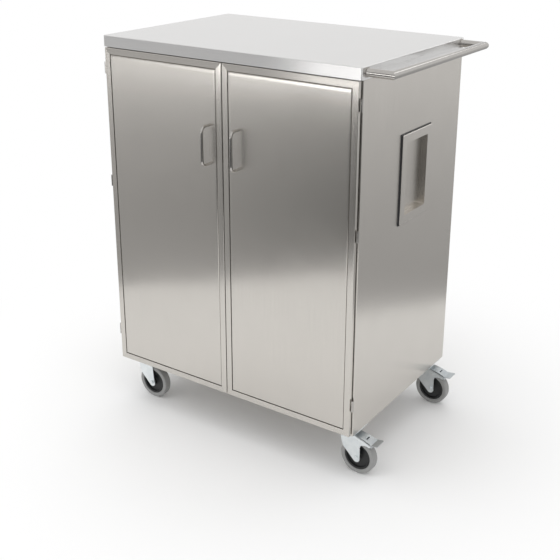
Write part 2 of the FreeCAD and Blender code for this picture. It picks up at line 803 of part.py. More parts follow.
def brake_pedal():
    """Pressed lever over the fork's arms, with a wider raised toe, a brake shoe and two ears on its pin."""
    axle = Vector(caster_trail, 0, wheel_radius)
    half = pedal_half_width
    wide = pedal_toe_half_width
    strip = folded(pedal_rise[::-1], pedal_sheet, lambda a, b: axle + Vector(a, -wide, b),
                   Vector(0, 2 * wide, 0))
    rear = axle.x + pedal_rise[0][0] - pedal_sheet
    toe_start = axle.x + pedal_rise[-2][0]
    toe_end = axle.x + pedal_rise[-1][0] + pedal_sheet
    lever_plan = box(rear, toe_start, -half, half, axle.z, bottom_z)
    toe_plan = slab((toe_start - pedal_toe_corner, toe_end, -wide, wide, axle.z, bottom_z), "+z",
                    pedal_toe_corner, 0)
    slot = box(axle.x + pedal_slot[0], axle.x + pedal_slot[1], -pedal_slot_half_width, pedal_slot_half_width,
               axle.z, bottom_z)
    lever = strip.common(lever_plan.fuse(toe_plan)).cut(slot)
    shoe = [axle + Vector(a, -brake_shoe_half_width, b) for a, b in brake_shoe]
    lever = lever.fuse(drawn(shoe, Vector(0, 2 * brake_shoe_half_width, 0)))
    ear_y = leg_inner_y - pedal_ear_gap
    pivot = axle + Vector(pedal_pivot[0], 0, pedal_pivot[1])
    ends = (pedal_pivot[0] - pedal_ear_radius, pedal_pivot[0] + pedal_ear_radius)
    neck = [(ends[0], pedal_pivot[1]), (ends[1], pedal_pivot[1]), (ends[1], pedal_middle_height(ends[1])),
            (ends[0], pedal_middle_height(ends[0]))]
    for near_y in (-ear_y, ear_y - pedal_ear_sheet):
        thickness = Vector(0, pedal_ear_sheet, 0)
        disc = cylinder(pedal_ear_radius, pivot + Vector(0, near_y, 0), thickness)
        lever = lever.fuse([disc, drawn([axle + Vector(a, near_y, b) for a, b in neck], thickness)])
    bore = cylinder(pedal_pin_radius + pedal_pin_fit, pivot + Vector(0, -ear_y, 0), Vector(0, 2 * ear_y, 0))
    return lever.cut(bore)


def pedal_middle_height(along):
    """Height of the middle of the pedal's sheet in its first slope, above the axle."""
    (start, high), (end, low) = pedal_rise[:2]
    return high + (low - high) * (along - start) / (end - start) - pedal_sheet / 2


def pedal_pins():
    """Two short headed pins, each through a fork leg and the pedal's ear inside it, clear of the tyre."""
    pivot = Vector(caster_trail + pedal_pivot[0], 0, wheel_radius + pedal_pivot[1])
    reach = fork_sheet + pedal_ear_gap + pedal_ear_sheet
    pins = []
    for side in (-1, 1):
        seat = pivot + Vector(0, side * leg_outer_y, 0)
        shank = cylinder(pedal_pin_radius, seat, Vector(0, -side * reach, 0))
        head = cylinder(pedal_pin_head, seat, Vector(0, side * pedal_pin_head_height, 0))
        pins.append(shank.fuse(head))
    return group(pins)


def caster_nuts():
    """Nuts on the studs, under the caster plates."""
    shapes = []
    for x, y in caster_stud_places():
        seat = Vector(x, y, bottom_z - plate_sheet)
        depth = Vector(0, 0, -nut_height)
        nut = hexagon(hex_across_flats, seat, depth).cut(cylinder(bolt_radius + pin_fit, seat, depth))
        shapes.append(nut)
        shapes.append(mirrored(nut))
    return group(shapes)


# ---------------------------------------------------------------- assembly
parts = {}
parts["worktop"] = worktop()
parts["worktop_stiffeners"] = worktop_stiffeners()
parts["left_side_panel"] = mirrored(side_panel())
parts["right_side_panel"] = side_panel().cut(grip_cut_out())
parts["base_pan"] = base_pan()
parts["back_panel"] = back_panel()
parts["front_header"] = front_header()
parts["centre_post"] = centre_post()
parts["centre_partition"] = centre_partition()
parts["caster_channels"] = group([caster_channel(), mirrored(caster_channel())])
parts["side_grip"] = side_grip()
parts["push_handle"] = push_handle()
parts["push_handle_collars"] = push_handle_collars()

# A tray lies midway between the wall uprights and the centre post, and bears on both ledges.
wall_ledge = upright_face_x - tray_side_gap - tray_bearing
centre_ledge = post_width / 2 + tray_side_gap + tray_bearing
wall_runners = runners(upright_face_x, wall_ledge)
centre_runners = runners(sheet / 2, centre_ledge)
parts["wall_uprights"] = wall_uprights()
parts["right_wall_runners"] = wall_runners
parts["left_wall_runners"] = mirrored(wall_runners)
parts["right_centre_runners"] = centre_runners
parts["left_centre_runners"] = mirrored(centre_runners)

door_pieces = {
    "door_rim": door_rim(),
    "door_panel": door_panel(),
    "door_liner": door_liner(),
    "door_handle": door_handle(),
    "door_handle_screws": door_handle_screws(),
    "door_hinge_barrels": door_hinge_barrels(),
    "door_strike_plates": strike_plates(),
}
for name, shape in door_pieces.items():
    parts["right_" + name] = shape
    parts["left_" + name] = mirrored(shape)
parts["hinge_pintles"] = group([hinge_pintles(), mirrored(hinge_pintles())])
parts["door_catches"] = group([door_catches(), mirrored(door_catches())])

# The two casters at the push handle's end carry brakes. All four trail towards +X.
caster_places = {
    "front_left": (-caster_x, caster_front_y, False),
    "front_right": (caster_x, caster_front_y, True),
    "rear_left": (-caster_x, caster_back_y, False),
    "rear_right": (caster_x, caster_back_y, True),
}
plates = []
for name, (x, y, braked) in caster_places.items():
    place = Vector(x, y, 0)
    plates.append(caster_plate().translated(place))
    parts[name + "_fork"] = caster_fork(braked).translated(place)
    parts[name + "_axle"] = caster_axle().translated(place)
    parts[name + "_wheel_centre"] = wheel_centre().translated(place)
    parts[name + "_tyre"] = tyre().translated(place)
    if braked:
        parts[name + "_brake_pedal"] = brake_pedal().translated(place)
        parts[name + "_pedal_pins"] = pedal_pins().translated(place)
parts["caster_plates"] = group(plates)
parts["caster_nuts"] = caster_nuts()

# Middle of the bounding box: hinge barrels to crossbar along X, door handles to worktop along Y.
box_left = -(hinge_x + barrel_radius)
box_right = worktop_x + push_reach + tube_radius
box_front = door_front_y - handle_reach - handle_rod_radius
origin = Vector((box_left + box_right) / 2, (box_front + worktop_y) / 2, 0)

os.makedirs("parts", exist_ok=True)
for name, shape in parts.items():
    shape.translated(-origin).exportStep("parts/" + name + ".step")
print(len(parts), "pieces; origin", tuple(origin), "from the middle of the cabinet")
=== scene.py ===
# %% [markdown]
# # An enclosed meal tray cart
#
# The cart is a tall cabinet folded from brushed stainless sheet. It has two doors, a tube push handle at one
# end and four swivel casters. The solid model already holds its true sizes and every hidden piece, so this
# file gives the cart its looks: brushed metal with a direction, mitred door rims, round tubes and tyres.
#
# We start by loading that model.

import json
import math

import bpy
import numpy as np
from mathutils import Matrix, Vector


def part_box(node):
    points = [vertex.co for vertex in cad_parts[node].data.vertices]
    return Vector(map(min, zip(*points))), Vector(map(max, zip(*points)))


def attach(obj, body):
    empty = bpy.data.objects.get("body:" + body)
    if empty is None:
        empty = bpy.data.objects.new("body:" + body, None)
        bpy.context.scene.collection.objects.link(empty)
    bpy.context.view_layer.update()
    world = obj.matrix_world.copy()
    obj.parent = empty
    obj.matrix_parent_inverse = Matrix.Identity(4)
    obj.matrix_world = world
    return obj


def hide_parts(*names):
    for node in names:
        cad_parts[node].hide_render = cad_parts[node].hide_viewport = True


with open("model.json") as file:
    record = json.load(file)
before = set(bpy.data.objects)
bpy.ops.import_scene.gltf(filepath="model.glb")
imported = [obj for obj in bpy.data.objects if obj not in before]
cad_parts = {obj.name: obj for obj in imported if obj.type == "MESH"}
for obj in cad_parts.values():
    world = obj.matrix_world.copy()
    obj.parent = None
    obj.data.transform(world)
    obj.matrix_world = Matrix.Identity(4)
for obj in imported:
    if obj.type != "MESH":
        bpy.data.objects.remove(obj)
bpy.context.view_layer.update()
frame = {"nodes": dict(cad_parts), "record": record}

# %% [markdown]
# ## Small helpers for meshes
#
# Every new piece is a surface over two parameters: a grid of points, worked out as whole numpy arrays. Two
# neighbouring rows and two neighbouring columns make one four-sided face. A closed direction joins its last
# row to its first, as round a tube.
#
# Smooth shading hides the facets of a curved surface, but a folded corner has to stay crisp. So the mesh is
# shaded smooth and then its edges are marked sharp wherever two faces meet at more than 30 degrees.

# %% Turn a grid of points into a mesh object
CREASE_ANGLE = math.radians(30)


def surface(name, grid, close_rows=False, close_columns=False):
    """Object whose faces join each point of the grid to the next row and the next column."""
    rows, columns = grid.shape[:2]
    index = np.arange(rows * columns).reshape(rows, columns)
    if close_rows:
        index = np.vstack([index, index[:1]])
    if close_columns:
        index = np.hstack([index, index[:, :1]])
    corners = [index[:-1, :-1], index[1:, :-1], index[1:, 1:], index[:-1, 1:]]
    faces = np.stack(corners, axis=-1).reshape(-1, 4)
    mesh = bpy.data.meshes.new(name)
    mesh.from_pydata(grid.reshape(-1, 3).tolist(), [], faces.tolist())
    mesh.validate()
    mesh.polygons.foreach_set("use_smooth", np.ones(len(mesh.polygons), bool))
    mesh.set_sharp_from_angle(angle=CREASE_ANGLE)
    piece = bpy.data.objects.new(name, mesh)
    bpy.context.scene.collection.objects.link(piece)
    return piece


def fit(piece, body, nodes, finish):
    """Puts the piece on its body in place of the named nodes, with its finish."""
    piece.data.materials.append(finish)
    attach(piece, body)
    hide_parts(*nodes)


def edges_of(node):
    """Lowest and highest corner of a node, as two numpy arrays in metres."""
    low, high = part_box(node)
    return np.array(low), np.array(high)


# %% [markdown]
# ## Colours and material nodes
#
# Colours are written as the hex values that a screen shows, and shaders want linear light, so one function
# turns the first into the second. Another adds a node, sets its options and links its inputs, which keeps
# each material as short as its recipe.

# %% Colour and node helpers


def linear(hex_colour):
    """Linear red, green, blue and alpha of an sRGB hex colour."""
    channels = [int(hex_colour[i : i + 2], 16) / 255 for i in (1, 3, 5)]
    return [c / 12.92 if c <= 0.04045 else ((c + 0.055) / 1.055) ** 2.4 for c in channels] + [1.0]


def add(tree, kind, inputs=None, **settings):
    """New node with its settings, whose inputs are linked to sockets or set to values."""
    node = tree.nodes.new(kind)
    for name, value in settings.items():
        setattr(node, name, value)
    for name, value in (inputs or {}).items():
        if isinstance(value, bpy.types.NodeSocket):
            tree.links.new(value, node.inputs[name])
        else:
            node.inputs[name].default_value = value
    return node


def new_material(name):
    """Empty node material, as its node tree and its principled shader."""
    material = bpy.data.materials.new(name)
    material.use_nodes = True
    tree = material.node_tree
    tree.nodes.clear()
    shader = add(tree, "ShaderNodeBsdfPrincipled")
    add(tree, "ShaderNodeOutputMaterial", {"Surface": shader.outputs["BSDF"]})
    return material, tree, shader


def two_tones(tree, value, between, first, second):
    """Colour socket that goes from the first colour to the second as the value crosses the range."""
    ramp = add(tree, "ShaderNodeValToRGB", {"Fac": value})
    for stop, position, colour in zip(ramp.color_ramp.elements, between, (first, second)):
        stop.position = position
        stop.color = colour
    return ramp.outputs["Color"]


# %% [markdown]
# ## Brushed stainless sheet
#
# Satin stainless is drawn under an abrasive belt, so its surface is covered in fine scratches that all run
# one way. Along them a reflection stays fairly sharp, and across them it spreads widely, so the shader's
# roughness gets a direction. Its tangent is the direction of the wide spread. A tangent that circles the
# grain's own axis is square to the grain on every flat face that the grain lies in, which is just that.
#
# The scratches are also a noise stretched along the grain, used as bump and as a faint change of tone. Real
# ones are about 0.1 mm wide, which is far too fine to show here, so they are drawn 2.5 mm wide and some
# 160 mm long.
#
# A thin folded panel is never quite flat either. A very broad noise tips the normal by a fraction of a degree
# and bends the reflections gently, as sheet between two welds does. Slow changes in roughness show where the
# belt pressed harder.

# %% Make the sheet finishes
SCRATCH_WIDTH = 0.0025
SCRATCH_LENGTH = 0.16
WAVE_LENGTH = 0.4
WORN_PATCHES = 9.0  # to a metre
ROUGHNESS_DRIFT = 0.015  # a roughness of up to 0.28 left rings on the panels in denoised renders
SCRATCH_TONE = 0.96
NOISE_LOW, NOISE_HIGH = 0.3, 0.7  # nearly every value of a noise lies between these


def brushed(name, colour, grain, roughness=0.25, tip=0.012, scratch=0.000008):
    """Brushed metal whose scratches run along the grain axis: 0 for X, 1 for Y, 2 for Z.

    The tip is how far the waves lean the normal, as a slope, and scratch is the depth of a scratch in metres.
    """
    material, tree, shader = new_material(name)
    place = add(tree, "ShaderNodeTexCoord").outputs["Object"]
    scales = [1 / SCRATCH_WIDTH] * 3
    scales[grain] = 1 / SCRATCH_LENGTH
    along = add(tree, "ShaderNodeMapping", {"Vector": place, "Scale": scales}).outputs["Vector"]
    scratches = add(tree, "ShaderNodeTexNoise", {"Vector": along, "Scale": 1.0, "Detail": 2.0})
    waves = add(tree, "ShaderNodeTexNoise", {"Vector": place, "Scale": 1 / WAVE_LENGTH, "Detail": 0.0})
    level = add(tree, "ShaderNodeVectorMath", {0: waves.outputs["Color"], 1: (0.5, 0.5, 0.5)},
                operation="SUBTRACT")
    small = add(tree, "ShaderNodeVectorMath", {0: level.outputs[0], "Scale": tip}, operation="SCALE")
    flat = add(tree, "ShaderNodeNewGeometry").outputs["Normal"]
    bent = add(tree, "ShaderNodeVectorMath", {0: flat, 1: small.outputs[0]}, operation="ADD")
    fine = add(tree, "ShaderNodeBump", {"Height": scratches.outputs["Fac"], "Distance": scratch,
                                        "Strength": 1.0, "Normal": bent.outputs[0]})
    worn = add(tree, "ShaderNodeTexNoise", {"Vector": place, "Scale": WORN_PATCHES, "Detail": 2.0})
    spread = add(tree, "ShaderNodeMapRange",
                 {"Value": worn.outputs["Fac"], "From Min": NOISE_LOW, "From Max": NOISE_HIGH,
                  "To Min": roughness - ROUGHNESS_DRIFT, "To Max": roughness + ROUGHNESS_DRIFT})
    base = linear(colour)
    tone = two_tones(tree, scratches.outputs["Fac"], (NOISE_LOW, NOISE_HIGH),
                     [channel * SCRATCH_TONE for channel in base[:3]] + [1.0], base)
    across = add(tree, "ShaderNodeTangent", direction_type="RADIAL", axis="XYZ"[grain])
    tree.links.new(tone, shader.inputs["Base Color"])
    tree.links.new(spread.outputs["Result"], shader.inputs["Roughness"])
    tree.links.new(fine.outputs["Normal"], shader.inputs["Normal"])
    tree.links.new(across.outputs["Tangent"], shader.inputs["Tangent"])
    shader.inputs["Metallic"].default_value = 1.0
    shader.inputs["Anisotropic"].default_value = 0.95
    return material


# The worktop is the walls' steel with a paler base colour, a painted highlight that lightens its reflection of the
# bright surround above. It is even, with its lines along its length.
lightened_worktop_steel = brushed("stainless_brushed_worktop_painted_highlight", "#E2E1E0", 0)
# The walls are a warmer grey. Light lies on them in soft bands, which run across the grain.
stainless_along_x = brushed("stainless_brushed_along_x", "#CFCBC5", 0)
stainless_along_y = brushed("stainless_brushed_along_y", "#CFCBC5", 1)
stainless_upright = brushed("stainless_brushed_upright", "#CFCBC5", 2)
print("sheet finishes made")

# %% [markdown]
# ## The other finishes
#
# These drift a little between two colours, over a distance that fits each material. The handles are drawn
# tube and rod, polished rather than brushed. The casters are pressed steel with a zinc plating. The wheel
# centres are moulded plastic, and the tyres are grey rubber, which doesn't mark floors.

# %% Make the small finishes
TONE_LOW, TONE_HIGH = 0.35, 0.65
GLOSS_DRIFT = 0.15


def speckled(name, colour, second, grain_size, roughness, metallic, relief):
    """Finish that drifts between two colours over the grain size, with a shallow relief."""
    material, tree, shader = new_material(name)
    place = add(tree, "ShaderNodeTexCoord").outputs["Object"]
    noise = add(tree, "ShaderNodeTexNoise", {"Vector": place, "Scale": 1 / grain_size, "Detail": 4.0})
    tone = two_tones(tree, noise.outputs["Fac"], (TONE_LOW, TONE_HIGH), linear(colour), linear(second))
    spread = add(tree, "ShaderNodeMapRange",
                 {"Value": noise.outputs["Fac"], "From Min": NOISE_LOW, "From Max": NOISE_HIGH,
                  "To Min": roughness * (1 - GLOSS_DRIFT), "To Max": roughness * (1 + GLOSS_DRIFT)})
    bump = add(tree, "ShaderNodeBump", {"Height": noise.outputs["Fac"], "Distance": relief, "Strength": 1.0})
    tree.links.new(tone, shader.inputs["Base Color"])
    tree.links.new(spread.outputs["Result"], shader.inputs["Roughness"])
    tree.links.new(bump.outputs["Normal"], shader.inputs["Normal"])
    shader.inputs["Metallic"].default_value = metallic
    return material


# Polished tube gives narrow bright and dark lines along its length, slightly blurred by handling.
polished_stainless = speckled("stainless_polished", "#B4B1AD", "#ACA9A5", 0.004, 0.15, 1.0, 0.000004)
# Fresh zinc plating is a pale, slightly blue grey, mottled and softly glossy.
bright_zinc = speckled("zinc_plated_steel", "#E6EAEB", "#DDE2E4", 0.02, 0.32, 1.0, 0.00001)
# The pedals' plating is darker and a little duller than the rest.
dull_zinc = speckled("zinc_plated_steel_dull", "#B9BDBF", "#AEB3B6", 0.02, 0.36, 1.0, 0.00001)
# Moulded plastic is near black and has a fine grain, so it only shows broad, weak highlights.
black_plastic = speckled("black_moulded_plastic", "#161617", "#1F2021", 0.0015, 0.42, 0.0, 0.00002)
# Rubber is dull and even, with a grain from its mould.
grey_rubber = speckled("grey_rubber", "#8E8E8D", "#989897", 0.002, 0.62, 0.0, 0.00003)
print("small finishes made")

# %% [markdown]
# ## Dress the solid model's own pieces
#
# Folded sheet, brackets and fasteners already have their true shape, so they keep it and only get a finish.
# The grain follows how each sheet is cut: along the length of the worktop and the floor, and upright on the
# walls. Each finish is chosen by the material slot that the piece has in the record, and then by its name
# where the grain runs another way.

# %% Give every node a finish
finish_of_slot = {
    "cabinet_steel": stainless_upright,
    "worktop_steel": lightened_worktop_steel,
    "door_steel": stainless_upright,
    "grip_steel": stainless_upright,
    "polished_steel": polished_stainless,
    "hinge_steel": polished_stainless,
    "zinc_plate": bright_zinc,
    "fastener_steel": bright_zinc,
    "strike_steel": bright_zinc,
    "wheel_plastic": black_plastic,
    "tyre_rubber": grey_rubber,
    "catch_plastic": black_plastic,
}
along_y = ("runners", "caster_channels")
along_x = ("base_pan", "worktop_stiffeners", "front_header")
slot_of = {row["node"]: row["material_slot"] for row in frame["record"]["subparts"]}
for node_name, node in frame["nodes"].items():
    finish = finish_of_slot[slot_of[node_name]]
    if node_name.endswith(along_y):
        finish = stainless_along_y
    if node_name.endswith(along_x):
        finish = stainless_along_x
    if node_name.endswith("_brake_pedal"):
        finish = dull_zinc
    node.data.materials.clear()
    node.data.materials.append(finish)
print(len(frame["nodes"]), "nodes dressed")

# %% [markdown]
# ## Door rims
#
# Each door is framed by four lengths of folded channel, cut at 45 degrees and welded. The grain turns with
# each length, which is why the top rail looks brighter than the upright beside it. One solid frame can't
# show that, so each length is its own piece here.
#
# A length is its cross-section carried in a straight line. The mitre comes from one rule: a point that lies
# a distance inside the rim's outer edge starts and stops that same distance short of the corners.

# %% Make the four lengths of a door rim
RIM_WIDTH = 0.021
RIM_EDGE = 0.0015
SHEET = 0.0015
RIM_STEPS = 9


def rim_section(depth):
    """Closed section as (inward, behind the face): outer return, rounded edge, face, inner return."""
    turn = np.linspace(0, math.pi / 2, 7)
    edge_inward = RIM_EDGE - RIM_EDGE * np.cos(turn)
    edge_behind = RIM_EDGE - RIM_EDGE * np.sin(turn)
    inward = [0, *edge_inward, RIM_WIDTH, RIM_WIDTH, RIM_WIDTH - SHEET, RIM_WIDTH - SHEET, SHEET, SHEET]
    behind = [depth, *edge_behind, 0, depth - SHEET, depth - SHEET, SHEET, SHEET, depth]
    return np.array(inward, float), np.array(behind, float)


def rim_length(name, low, high, axis, from_high):
    """One length along X (axis 0) or Z (axis 2), at the low or the high side, with both ends mitred."""
    inward, behind = rim_section(high[1] - low[1])
    across = 2 - axis
    share = np.linspace(0, 1, RIM_STEPS)[:, None]
    grid = np.zeros((RIM_STEPS, len(inward), 3))
    start = low[axis] + inward
    grid[..., axis] = start + share * (high[axis] - inward - start)
    grid[..., across] = high[across] - inward if from_high else low[across] + inward
    grid[..., 1] = low[1] + behind
    if from_high == (axis == 2):
        grid = grid[:, ::-1]
    return surface(name, grid, close_columns=True)


for side in ("left", "right"):
    node = side + "_door_rim"
    low, high = edges_of(node)
    lengths = [("top_rail", 0, True), ("bottom_rail", 0, False), ("inner_stile", 2, side == "left"),
               ("outer_stile", 2, side == "right")]
    for name, axis, from_high in lengths:
        piece = rim_length(side + "_door_" + name, low, high, axis, from_high)
        finish = stainless_along_x if axis == 0 else stainless_upright
        fit(piece, side + "_door", [node], finish)
    print(node, "as four mitred lengths")

# %% [markdown]
# ## Door panels
#
# The panel inside each rim is a shallow pan with softly rounded edges. A pan is a flat grid whose outer rows
# turn the corner: each row has a step outward and a depth behind the face. Where the rows of two sides meet,
# the deeper of the two wins, which gives the folded corner its mitre.
#
# The face also gets a real, very shallow swell. It is what makes the reflection of the floor's edge wander
# across a door.

# %% Make a pan from its edge profile


def pan_grid(low, high, edge_out, edge_depth, steps, swell):
    """Points (a, b, depth): the outer rows follow the edge profile, and the inner ones are flat but for the swell.

    The swell is two crossed waves, which fade to nothing at the sides as u (1 - u) v (1 - v) does.
    """
    sides = []
    for axis in (0, 1):
        inner = np.linspace(low[axis] + edge_out[0], high[axis] - edge_out[0], steps[axis])
        first = low[axis] + edge_out[::-1]
        last = high[axis] - edge_out
        depth = np.concatenate([edge_depth[::-1], np.zeros(steps[axis] - 2), edge_depth])
        sides.append((np.concatenate([first[:-1], inner, last[1:]]), depth))
    a, b = np.meshgrid(sides[0][0], sides[1][0], indexing="ij")
    depth = np.maximum(sides[0][1][:, None], sides[1][1][None, :])
    u = (a - low[0]) / (high[0] - low[0])
    v = (b - low[1]) / (high[1] - low[1])
    calm = np.clip(16 * u * (1 - u) * v * (1 - v), 0, 1) * (depth == 0)
    crossed = np.cos(2.3 * math.pi * u + 1.1) * np.cos(3.1 * math.pi * v + 0.4)
    slanted = np.cos(1.2 * math.pi * u + 4.2 * math.pi * v)
    wander = 0.5 - 0.25 * crossed - 0.25 * slanted
    return np.stack([a, b, depth + swell * calm * wander], axis=-1)


def edge_profile(radius, depth, lip):
    """Rows of a folded edge, from the flat face outwards: a quarter round, a wall, and a lip turned inward."""
    turn = np.linspace(0, math.pi / 2, 8)
    out = np.concatenate([radius * (1 - np.sin(turn)), [0, 0, lip]])
    behind = np.concatenate([radius * (1 - np.cos(turn)), [depth * 0.6, depth, depth]])
    return out, behind


PANEL_EDGE = 0.0035
PANEL_LIP = 0.004
PANEL_SWELL = 0.0006
PANEL_STEPS = (50, 110)
for side in ("left", "right"):
    node = side + "_door_panel"
    low, high = edges_of(node)
    out, behind = edge_profile(PANEL_EDGE, high[1] - low[1], PANEL_LIP)
    flat = pan_grid(low[[0, 2]], high[[0, 2]], out, behind, PANEL_STEPS, PANEL_SWELL)
    grid = np.stack([flat[..., 0], low[1] + flat[..., 2], flat[..., 1]], axis=-1)
    fit(surface(side + "_door_skin", grid), side + "_door", [node], stainless_upright)
    deepest = float(flat[..., 2][flat[..., 2] < PANEL_SWELL].max())
    print(node, "swells inward by", round(deepest * 1000, 2), "mm")

# %% [markdown]
# ## Round bars and tubes
#
# The door handles are bent rod, and the push handle is straight tube cut at 45 degrees. Both are a circle
# carried along a flat path. On a bend the circle stays square to the path. At a mitre it lies in the cutting
# plane instead, so it is stretched across the corner by one over the cosine of half the turn.

# %% Carry a circle along a flat path


def bar(name, path, radii, normal, sides=40):
    """Round bar on a flat path: ring = centre + radius x (side direction x cosine + plane's normal x sine)."""
    steps = np.diff(path, axis=0)
    steps = steps / np.linalg.norm(steps, axis=1)[:, None]
    before = np.vstack([steps[:1], steps])
    after = np.vstack([steps, steps[-1:]])
    tangent = before + after
    tangent = tangent / np.linalg.norm(tangent, axis=1)[:, None]
    stretch = 1 / np.clip((tangent * after).sum(axis=1), 0.2, 1)
    across = np.cross(normal, tangent)
    angle = np.linspace(0, 2 * math.pi, sides, endpoint=False)[None, :, None]
    flat = across[:, None] * np.cos(angle) * stretch[:, None, None]
    rings = path[:, None] + radii[:, None, None] * (flat + np.array(normal) * np.sin(angle))
    centres = np.repeat(path[[0, -1]][:, None], sides, axis=1)
    grid = np.concatenate([centres[:1], rings, centres[1:]])
    return surface(name, grid, close_columns=True)


ROD_BEND = 0.018
FOOT_STEPS = np.array([0, 0.0008, 0.002])  # rings near a foot, which keep its end crisp
for side in ("left", "right"):
    node = side + "_door_handle"
    low, high = edges_of(node)
    radius = (high[0] - low[0]) / 2
    middle_x = (low[0] + high[0]) / 2
    turn = np.linspace(0, math.pi / 2, 14)
    reach = low[1] + radius
    top = high[2] - radius
    foot = low[2] + radius
    corner_y = reach + ROD_BEND
    upper = np.stack([corner_y - ROD_BEND * np.sin(turn), top - ROD_BEND + ROD_BEND * np.cos(turn)], axis=1)
    lower = np.stack([corner_y - ROD_BEND * np.cos(turn), foot + ROD_BEND - ROD_BEND * np.sin(turn)], axis=1)
    feet = high[1] - FOOT_STEPS
    first = np.stack([feet, np.full(len(feet), top)], axis=1)
    last = np.stack([feet[::-1], np.full(len(feet), foot)], axis=1)
    line = np.concatenate([first, upper, lower, last])
    path = np.stack([np.full(len(line), middle_x), line[:, 0], line[:, 1]], axis=1)
    radii = np.full(len(path), radius)
    handle = bar(side + "_door_grip_rod", path, radii, (1.0, 0.0, 0.0))
    fit(handle, side + "_door", [node], polished_stainless)
    print(node, "rod radius", round(float(radius) * 1000, 2), "mm")

# %% Make the push handle
low, high = edges_of("push_handle")
radius = (high[2] - low[2]) / 2
middle_z = (low[2] + high[2]) / 2
front, back, end = low[1] + radius, high[1] - radius, high[0] - radius
corners = np.array([[low[0], front, middle_z], [end, front, middle_z],
                    [end, back, middle_z], [low[0], back, middle_z]])
push_tube = bar("push_handle_tube", corners, np.full(4, radius), (0.0, 0.0, 1.0), sides=64)
fit(push_tube, "cabinet", ["push_handle"], polished_stainless)
print("push handle tube diameter", round(float(radius) * 2000, 1), "mm")

# %% [markdown]
# ## Painted shade round the recessed grip
#
# The grip's plate stands proud of the end panel, and the corner round its foot lies in shade. A near-black bead
# paints that shade: it fills the corner between the plate's flank and the panel. It is a section of three
# points carried round a rectangle with mitred corners.

# %% Run the bead round the grip's plate
BEAD_BELOW_FACE = 0.0015
BEAD_HOLLOW = 0.0012
BEAD_WIDTH = 0.0034
OFF_FLANK, OFF_PANEL = 0.0002, 0.0001
low, high = edges_of("side_grip")
foot_x = edges_of("right_side_panel")[1][0]
section = np.array([[high[0] - BEAD_BELOW_FACE, OFF_FLANK], [foot_x + BEAD_HOLLOW, BEAD_HOLLOW],
                    [foot_x + OFF_PANEL, BEAD_WIDTH]])
corner_signs = np.array([[-1, -1], [1, -1], [1, 1], [-1, 1]])
outer = np.where(corner_signs < 0, low[1:], high[1:])
grid = np.zeros((3, 4, 3))
grid[..., 0] = section[:, 0][:, None]
grid[..., 1:] = outer[None] + section[:, 1][:, None, None] * corner_signs[None]
bead = surface("grip_painted_shade_bead", grid, close_columns=True)
# Painted shade: the near-black bead stands for the shade in the corner at the plate's foot.
bead.data.materials.append(black_plastic)
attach(bead, "cabinet")
print("bead laid round", np.round((high - low)[1:] * 1000, 0), "mm")

# %% [markdown]
# ## Tyres and wheel centres
#
# A wheel is a profile turned about its axle. The tyre has a flat tread with a slight crown and round
# shoulders, and a bead line where it grips the rim. The centre is one moulding: a hub, a thin web and a rim
# with a raised lip. Both profiles are written in millimetres, as (distance from the axle, offset along it),
# for one half of the wheel.

# %% Turn a profile about an axle


def turned(name, profile, centre, steps=96):
    """Closed profile of (radius, offset) points in mm, carried round the Y axis through the centre."""
    angle = np.linspace(0, 2 * math.pi, steps, endpoint=False)[:, None]
    radius, offset = np.array(profile, float).T / 1000
    grid = np.stack([centre[0] + radius * np.cos(angle), centre[1] + offset + 0 * angle,
                     centre[2] + radius * np.sin(angle)], axis=-1)
    return surface(name, grid, close_rows=True, close_columns=True)


def both_sides(half):
    """A closed profile from its half at positive offset: the same points mirrored, in reverse order."""
    return half + [(radius, -offset) for radius, offset in half[::-1]]


SHOULDER = 5.0
turn = np.radians(np.linspace(0, 90, 9))[:-1]
shoulder = [(57.5 + SHOULDER * math.sin(t), 10.0 + SHOULDER * math.cos(t)) for t in turn]
bead_line = [(47.5, 13.0), (48.0, 13.6), (49.2, 13.8), (49.8, 14.4), (51.0, 14.7)]
tyre_half = bead_line + shoulder + [(62.45, 10.0), (62.5, 4.0)]
centre_half = [(4.05, 16.0), (11.5, 16.0), (13.0, 15.1), (13.6, 7.4), (15.0, 6.0), (37.0, 4.2), (39.2, 5.0),
               (40.8, 11.8), (42.2, 13.0), (44.6, 13.0), (45.2, 12.2), (47.5, 12.2)]
for corner in ("front_left", "front_right", "rear_left", "rear_right"):
    low, high = edges_of(corner + "_tyre")
    hub = (low + high) / 2
    tyre = turned(corner + "_tyre_rubber", both_sides(tyre_half), hub)
    fit(tyre, corner + "_wheel", [corner + "_tyre"], grey_rubber)
    centre = turned(corner + "_wheel_moulding", both_sides(centre_half), hub)
    fit(centre, corner + "_wheel", [corner + "_wheel_centre"], black_plastic)
print("four wheels turned")

# %% [markdown]
# ## Floor, surroundings and light
#
# Steel shows what stands around it. The cart stands on a white floor that fades into a white surround, and
# what its sides reflect comes in the next step.
#
# Two large soft lamps give a plain level of light, at which a colour looks about as it is written. They are
# kept out of reflections, where they would stand on the white surround and burn out the polished tubes.

# %% Lay the floor
FLOOR_REACH = 14.0
FLOOR_STEPS = 41
FADE_FROM, FADE_TO = 0.6, 1.6  # metres from the middle, over which the shaded floor turns white


def seen_or_mirrored(tree):
    """Socket that is 1 for rays from the camera and those that the object mirrors or bends, and otherwise 0."""
    path = add(tree, "ShaderNodeLightPath").outputs
    seen = add(tree, "ShaderNodeMath", {0: path["Is Camera Ray"], 1: path["Is Glossy Ray"]}, operation="MAXIMUM")
    both = add(tree, "ShaderNodeMath", {0: seen.outputs[0], 1: path["Is Transmission Ray"]}, operation="MAXIMUM")
    return both.outputs[0]


line = np.linspace(-FLOOR_REACH, FLOOR_REACH, FLOOR_STEPS)
x, y = np.meshgrid(line, line, indexing="ij")
floor = surface("floor", np.stack([x, y, 0 * x], axis=-1))
